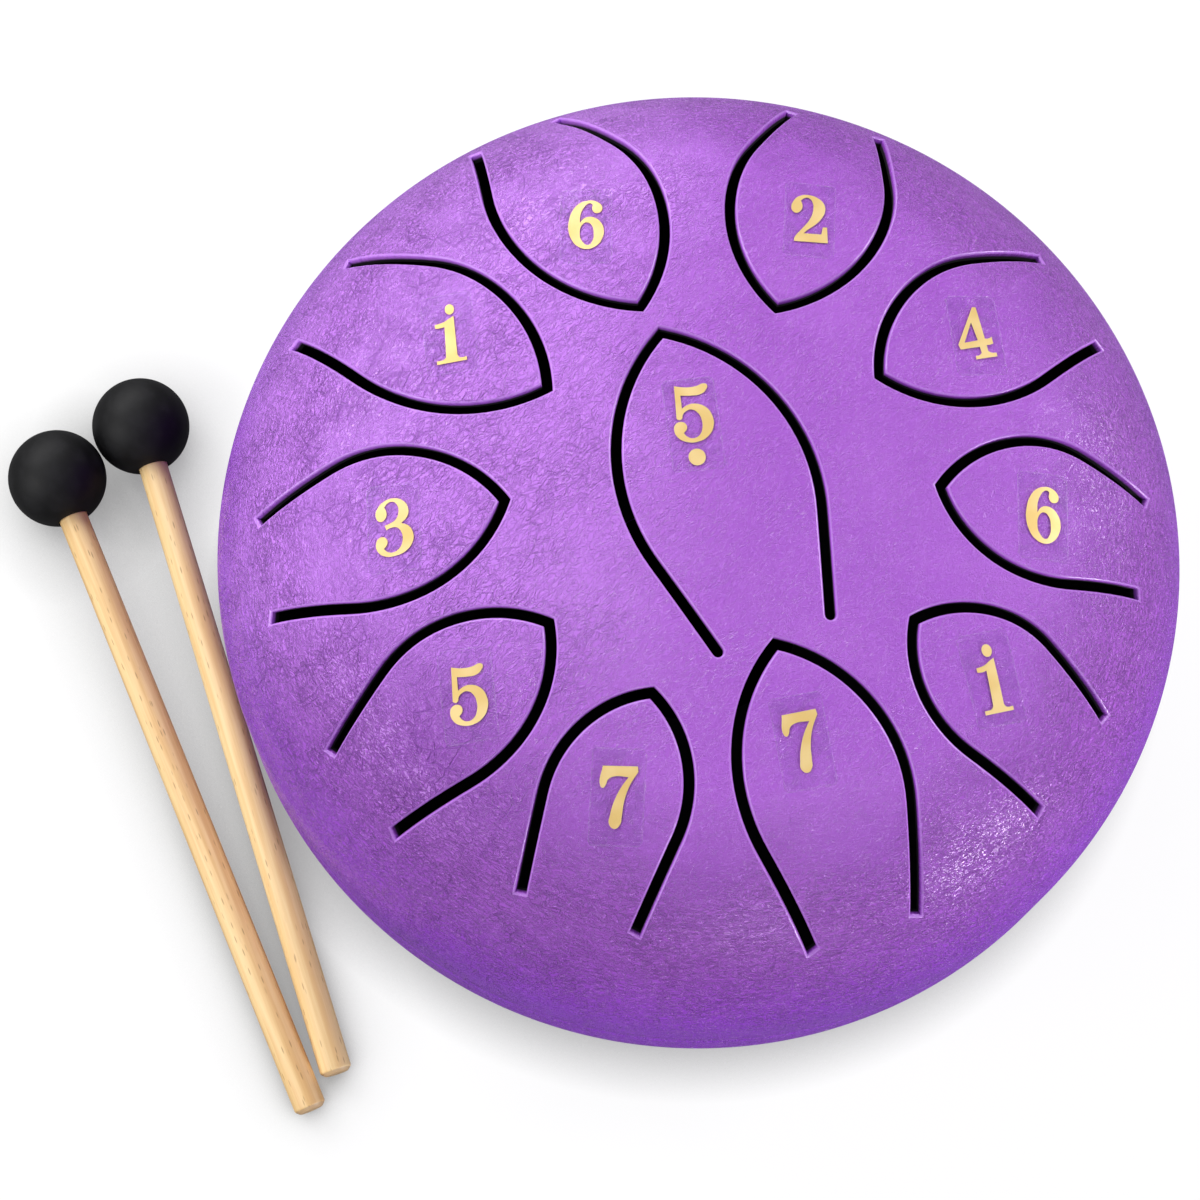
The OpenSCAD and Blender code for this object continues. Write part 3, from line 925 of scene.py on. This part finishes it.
# The note numbers are hot-pressed on the films in gold foil, in a fat-faced roman style. Each
# outline is drawn in millimetres from its film's middle; a point with a third value is a corner.
foil_lift = film_lift + film_t
foil_t = 0.06 * MM
foil_mesh_step = 1.1 * MM
foil_deep = (0.76, 0.53, 0.19, 1)
foil_bright = (0.83, 0.62, 0.28, 1)
digit_outlines = {
    "1": [[
        (1.25, 3.6, 0), (1.1, -5, 0), (1.5, -5.6), (2.85, -5.65, 0), (2.85, -6.4, 0),
        (-3, -6.5, 0), (-3, -5.75, 0), (-1.6, -5.6), (-1.1, -5.1, 0), (-0.75, 1.5, 0),
        (-1.5, 1.35), (-2.6, 1.45, 0), (-2.6, 2.25, 0), (-1, 2.5), (0.4, 3.2),
    ]],
    "2": [[
        (-3.75, 2.4), (-3.3, 4.2), (-2.2, 5.4), (-0.6, 5.85), (1.5, 5.3), (2.8, 3.9), (3, 2.2),
        (2.3, 0.4), (1, -1.3), (-0.4, -2.6), (-1.1, -3.4, 0), (2.4, -3.3, 0), (2.65, -1.6, 0),
        (3.5, -1.5, 0), (3.75, -5.2, 0), (-3, -5.4, 0), (-2.9, -4.6), (-1.5, -2.4), (0, 0),
        (0.6, 2.2), (0.5, 4), (-0.3, 5.1), (-1.2, 5), (-1.9, 4.3, 0), (-1.55, 3.3),
        (-1.7, 2.2), (-2.6, 1.3), (-3.4, 1.6),
    ]],
    "3": [[
        (-3.4, 2.7), (-2.9, 4.3), (-1.5, 5.5), (0.1, 5.85), (1.9, 5.2), (2.9, 3.5), (2.6, 1.8),
        (1.5, 0.75, 0), (2.9, 0), (3.7, -1.5), (3.6, -3.1), (2.3, -4.8), (0.2, -5.6),
        (-1.8, -5.5), (-3.2, -4.4), (-3.5, -2.9), (-2.9, -1.8), (-2, -1.7), (-1.3, -2.4),
        (-1.4, -3.3), (-2, -4, 0), (-1.3, -4.7), (-0.3, -4.9), (0.9, -4.3), (1.6, -2.9),
        (1.5, -1.2), (0.7, -0.1), (-0.5, 0), (-1.4, -0.4, 0), (-1.7, 0.55, 0), (-0.6, 0.9),
        (0.4, 1.5), (1, 2.9), (0.8, 4.4), (0, 5.15), (-0.9, 5), (-1.7, 4.2, 0), (-1.3, 3.2),
        (-1.5, 2), (-2.5, 1.4),
    ]],
    "4": [[
        (0.1, 6.1, 0), (0.85, 6.1, 0), (1.6, -0.9, 0), (2.4, -0.85), (3.05, -0.5, 0),
        (3.15, -1.95, 0), (2.5, -2.2), (1.75, -2.3, 0), (1.85, -3.6, 0), (2.5, -3.95),
        (3.5, -3.95, 0), (3.55, -4.75, 0), (-0.85, -5.4, 0), (-0.85, -4.65, 0), (-0.1, -4.5),
        (0.45, -4, 0), (0.3, -2.65, 0), (-3.7, -3.2, 0), (-4, -2.1, 0),
    ], [
        (-0.65, 2.7, 0), (0.1, -1.25, 0), (-2.7, -1.75, 0),
    ]],
    "5": [[
        (-2.6, 5.5, 0), (-0.6, 5.05), (1.3, 5.1), (2.7, 5.5), (3.3, 5.2), (2.9, 4.1), (1.9, 3.45),
        (0.2, 3.35), (-1.7, 3.55, 0), (-1.75, 1, 0), (-0.8, 1.55), (0.6, 1.75), (2.5, 0.9),
        (3.5, -1), (3.45, -2.9), (2.3, -4.7), (0.3, -5.6), (-1.6, -5.45), (-3.1, -4.5),
        (-3.65, -2.9), (-3.2, -1.8), (-2.3, -1.5), (-1.5, -1.9), (-1.3, -2.8), (-2, -3.7, 0),
        (-1.5, -4.4), (-0.5, -4.85), (0.7, -4.4), (1.4, -3.1), (1.5, -1.6), (1, -0.1),
        (0, 0.65), (-1, 0.5), (-1.8, -0.3), (-1.9, -0.8), (-2.4, -1.15), (-2.95, -0.85, 0),
    ]],
    "6": [[
        (0.4, 5.95), (-1.4, 5.2), (-2.7, 3.5), (-3.35, 1.4), (-3.5, -0.8), (-3, -2.9),
        (-1.8, -4.7), (0.2, -5.5), (2.1, -4.7), (3.2, -3), (3.5, -1.1), (2.9, 0.7), (1.9, 1.7),
        (0.6, 2.05), (-0.5, 1.6), (-1.2, 0.6, 0), (-1.15, 2.3), (-0.5, 4.1), (0.3, 5.1),
        (0.9, 5.25), (1.35, 4.9, 0), (1.2, 4.1), (1.5, 3.2), (2.3, 2.9), (3.1, 3.5), (3.1, 4.6),
        (2.3, 5.5), (1.4, 5.9),
    ], [
        (0.1, 0.75), (-0.8, 0.1), (-1.25, -1.8), (-0.8, -3.6), (0.4, -4.55), (1.2, -3.7),
        (1.5, -1.9), (1, 0.2),
    ]],
    "7": [[
        (-3, 5.4, 0), (3.5, 5.5, 0), (3.65, 4.5, 0), (2.2, 2), (1.3, -0.9), (1, -3.6),
        (0.8, -4.9), (-0.2, -5.75), (-1.3, -4.9), (-1.2, -3.4), (-0.6, -1), (0.6, 1.6),
        (1.9, 3.5, 0), (-0.9, 3.5), (-1.9, 2.9), (-2.3, 1.9), (-2.8, 1.4), (-3.3, 1.8),
    ]],
}
# What sets a numeral off from the plain digit in its tongue's name
numeral_extras = {
    "low_5": {"scale": 1.07, "shift": (0.1, 2.25), "dot": (-0.15, -6.8, 1.65, 1.7)},
    "high_1_left": {"dot": (0.6, 5.2, 0.9, 1.15)},
    "high_1_right": {"dot": (0.3, 5.15, 1.0, 1.2)},
}


def digit_curve(name):
    """A flat filled curve with a tongue's digit and its dot."""
    numeral = numeral_extras.get(name, {})
    digit = next(letter for letter in name if letter.isdigit())
    curve = bpy.data.curves.new("outline_" + name, "CURVE")
    curve.dimensions = "2D"
    curve.fill_mode = "BOTH"
    curve.resolution_u = 6
    size = numeral.get("scale", 1) * MM
    shift = Vector(numeral.get("shift", (0, 0))) * MM
    outlines = [
        [(shift.x + p[0] * size, shift.y + p[1] * size, len(p) > 2) for p in outline]
        for outline in digit_outlines[digit]
    ]
    if "dot" in numeral:
        x, y, half_w, half_h = (value * MM for value in numeral["dot"])
        dot_places = ((x - half_w, y), (x, y + half_h), (x + half_w, y), (x, y - half_h))
        outlines.append([(*dot_place, False) for dot_place in dot_places])
    for outline in outlines:
        spline = curve.splines.new("BEZIER")
        spline.bezier_points.add(len(outline) - 1)
        spline.use_cyclic_u = True
        for point, (x, y, corner) in zip(spline.bezier_points, outline):
            point.co = (x, y, 0)
            point.handle_left_type = point.handle_right_type = "VECTOR" if corner else "AUTO"
    return curve


gold_foil, tree = bare_material("gold_foil")
place = object_place(tree)
foil_tone = noise_node(tree, place, 1 / (7 * MM), 1.0)
foil_grain = noise_node(tree, place, 1 / (0.5 * MM), 3.0)
foil_share = ramp(tree, foil_tone, 0.35, 0.65)
principled(tree, {
    "Base Color": mix_color(tree, foil_share, foil_deep, foil_bright),
    "Metallic": 0.4,
    "Roughness": ramp(tree, foil_grain, 0.3, 0.7, 0.42, 0.54),
    "Normal": bump_normal(tree, foil_grain, 0.02 * MM, 0.35),
})
for name in labels:
    drawing = bpy.data.objects.new("outline_" + name, digit_curve(name))
    scene.collection.objects.link(drawing)
    flat_mesh = drawing.evaluated_get(bpy.context.evaluated_depsgraph_get()).to_mesh()
    foil_mesh = bmesh.new()
    foil_mesh.from_mesh(flat_mesh)
    bpy.data.objects.remove(drawing)
    bmesh.ops.remove_doubles(foil_mesh, verts=foil_mesh.verts, dist=0.01 * MM)
    cut_grid(foil_mesh, film_w / 2, low_film_h / 2, foil_mesh_step)
    lay_on_shell(foil_mesh, name, foil_lift, foil_t)
    foil = new_object("numeral_" + name, foil_mesh, gold_foil)
    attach(foil, "drum")


# Each mallet's head is a ball of black rubber, moulded in two halves, with a blind bore for
# the stick. The bore's mouth is a little rounded, and a faint parting line runs round the ball.
stick_d = 6.8 * MM
neck_d = 6.4 * MM
mallet_reach = 151.8 * MM
seat_depth = 15 * MM
seat_gap = 0.05 * MM
seat_end_gap = 0.2 * MM
mouth_round = 0.4 * MM
ball_turn_steps = 96
mallet_headings = {"left": -61.6, "right": -66.8}
ball_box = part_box("mallet_left_ball")
ball_r = (ball_box[1].z - ball_box[0].z) / 2
mallet_slope = math.asin(ball_r / math.hypot(mallet_reach, stick_d / 2)) - math.atan(
    stick_d / 2 / mallet_reach
)


def mallet_place(side):
    """The matrix that lays a mallet drawn along +Z from its ball's centre on the floor."""
    low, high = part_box(f"mallet_{side}_ball")
    middle = (low + high) / 2
    middle.z = floor_z + ball_r
    return (
        Matrix.Translation(middle)
        @ Matrix.Rotation(math.radians(mallet_headings[side]), 4, "Z")
        @ Matrix.Rotation(math.pi / 2 + mallet_slope, 4, "Y")
    )


def mallet_coordinates(tree, side):
    """Coordinates in metres along the mallet, with Z from the ball's centre to the tail."""
    place, turn, _ = mallet_place(side).decompose()
    return placed_node(tree, object_place(tree), turn.to_euler(), location=place)


rubber_black = (0.004, 0.004, 0.0045, 1)
rubber_bloom = (0.009, 0.009, 0.01, 1)
parting_half = 0.12 * MM
for side in mallet_headings:
    ball_rubber, tree = bare_material("ball_rubber_" + side)
    place = mallet_coordinates(tree, side)
    bloom = noise_node(tree, place, 1 / (4 * MM), 5.0)
    skin = noise_node(tree, place, 1 / (0.3 * MM), 2.0)
    off_parting = math_node(tree, "ABSOLUTE", split_node(tree, place)["X"])
    parting = ramp(tree, off_parting, 0, parting_half, 1, 0)
    skin_height = math_node(tree, "MULTIPLY_ADD", parting, 1.2, skin)
    bloom_share = ramp(tree, bloom, 0.4, 0.7)
    principled(tree, {
        "Base Color": mix_color(tree, bloom_share, rubber_black, rubber_bloom),
        "Roughness": ramp(tree, bloom, 0.3, 0.7, 0.5, 0.6),
        "Specular IOR Level": 0.2,
        "Normal": bump_normal(tree, skin_height, 0.018 * MM, 0.8),
    })
    bore_r = neck_d / 2 + seat_gap
    mouth_angle = math.asin((bore_r + mouth_round) / ball_r)
    ball_mesh = bmesh.new()
    pole = ball_mesh.verts.new((0, 0, -ball_r))
    mouth = swing(ball_mesh, [pole], (0, 0, 0), -(math.pi - mouth_angle), 56)[0]
    mouth_z = mouth.co.z
    lip_centre = (bore_r + mouth_round, 0, mouth_z - mouth_round)
    bore_top = swing(ball_mesh, [mouth], lip_centre, -math.pi / 2, 5)[0]
    bore_low = draw_to(ball_mesh, bore_top, (bore_r, 0, ball_r - seat_depth))
    draw_to(ball_mesh, bore_low, (0, 0, ball_r - seat_depth), 3)
    full_turn(ball_mesh, ball_turn_steps)
    bmesh.ops.transform(ball_mesh, matrix=mallet_place(side), verts=ball_mesh.verts)
    ball = new_object("mallet_ball_" + side, ball_mesh, ball_rubber)
    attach(ball, "mallet_" + side)
    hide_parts("mallet_" + side + "_ball")


# Each stick is turned from straight-grained beech with a slight taper to the neck, glued in
# the ball's bore, and has a chamfered tail. Short brown flecks run along the grain.
tail_chamfer = 0.9 * MM
chamfer_ease = 0.25 * MM
stick_turn_steps = 64
beech_tones = {
    "left": {"pale": (0.94, 0.67, 0.33, 1), "dark": (0.79, 0.49, 0.2, 1), "seed": 0.0},
    "right": {"pale": (0.94, 0.7, 0.36, 1), "dark": (0.83, 0.55, 0.24, 1), "seed": 0.37},
}
fleck_color = (0.36, 0.165, 0.06, 1)
end_grain_color = (0.5, 0.33, 0.2, 1)

tree, inside = shader_group("beech_grain", "Seed", 0.0, ("Figure", "Fleck", "Pore"))
seed_shift = add_node(tree, "ShaderNodeCombineXYZ", {"X": inside["Seed"]}).outputs[0]
shifted = vector_node(tree, "ADD", inside["Vector"], seed_shift)
figure_place = vector_node(tree, "MULTIPLY", shifted, (1, 1, 0.035))
fleck_place = vector_node(tree, "MULTIPLY", shifted, (1, 1, 0.16))
fleck_values = {"Vector": fleck_place, "Scale": 1 / (0.62 * MM)}
fleck_cells = add_node(tree, "ShaderNodeTexVoronoi", fleck_values).outputs
fleck_core = ramp(tree, fleck_cells["Distance"], 0.12, 0.3, 1, 0)
fleck_chance = split_node(tree, fleck_cells["Color"])[0]
fleck_pick = ramp(tree, fleck_chance, 0.5, 0.75)
pore_place = vector_node(tree, "MULTIPLY", shifted, (1, 1, 0.06))
add_node(tree, "NodeGroupOutput", {
    "Figure": noise_node(tree, figure_place, 1 / (1.6 * MM), 4.0, Roughness=0.6),
    "Fleck": times(tree, fleck_core, fleck_pick),
    "Pore": noise_node(tree, pore_place, 1 / (0.22 * MM), 2.0),
})

for side, tones in beech_tones.items():
    beech, tree = bare_material("beech_" + side)
    place = mallet_coordinates(tree, side)
    wood = group_node(tree, "beech_grain", {"Vector": place, "Seed": tones["seed"]})
    figure_share = ramp(tree, wood["Figure"], 0.32, 0.68)
    figured = mix_color(tree, figure_share, tones["dark"], tones["pale"])
    flecked = mix_color(tree, times(tree, wood["Fleck"], 0.6), figured, fleck_color)
    along = split_node(tree, place)["Z"]
    tail_start = mallet_reach - tail_chamfer
    tail_mask = ramp(tree, along, tail_start, tail_start + 0.3 * MM, 0, 0.75)
    principled(tree, {
        "Base Color": mix_color(tree, tail_mask, flecked, end_grain_color),
        "Roughness": ramp(tree, wood["Pore"], 0.3, 0.7, 0.42, 0.55),
        "Normal": bump_normal(tree, wood["Pore"], 0.03 * MM, 0.5),
        "Coat Weight": 0.12,
        "Coat Roughness": 0.3,
    })
    stick_mesh = bmesh.new()
    foot_vertex = stick_mesh.verts.new((0, 0, ball_r - seat_depth + seat_end_gap))
    neck = draw_to(stick_mesh, foot_vertex, (neck_d / 2, 0, foot_vertex.co.z), 2)
    neck = draw_to(stick_mesh, neck, (neck_d / 2, 0, ball_r), 4)
    body = draw_to(stick_mesh, neck, (stick_d / 2, 0, tail_start - 2 * ball_r), 24)
    body = draw_to(stick_mesh, body, (stick_d / 2, 0, tail_start), 4)
    tail = draw_to(stick_mesh, body, (stick_d / 2 - tail_chamfer, 0, mallet_reach))
    draw_to(stick_mesh, tail, (0, 0, mallet_reach), 3)
    full_turn(stick_mesh, stick_turn_steps)
    tail_edges = [
        edge for edge in stick_mesh.edges
        if min(v.co.z for v in edge.verts) > tail_start - MM / 100
        and edge.calc_face_angle(0) > math.radians(25)
    ]
    round_off(stick_mesh, tail_edges, chamfer_ease, 3)
    bmesh.ops.transform(stick_mesh, matrix=mallet_place(side), verts=stick_mesh.verts)
    stick = new_object("mallet_stick_" + side, stick_mesh, beech)
    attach(stick, "mallet_" + side)
    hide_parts("mallet_" + side + "_stick")
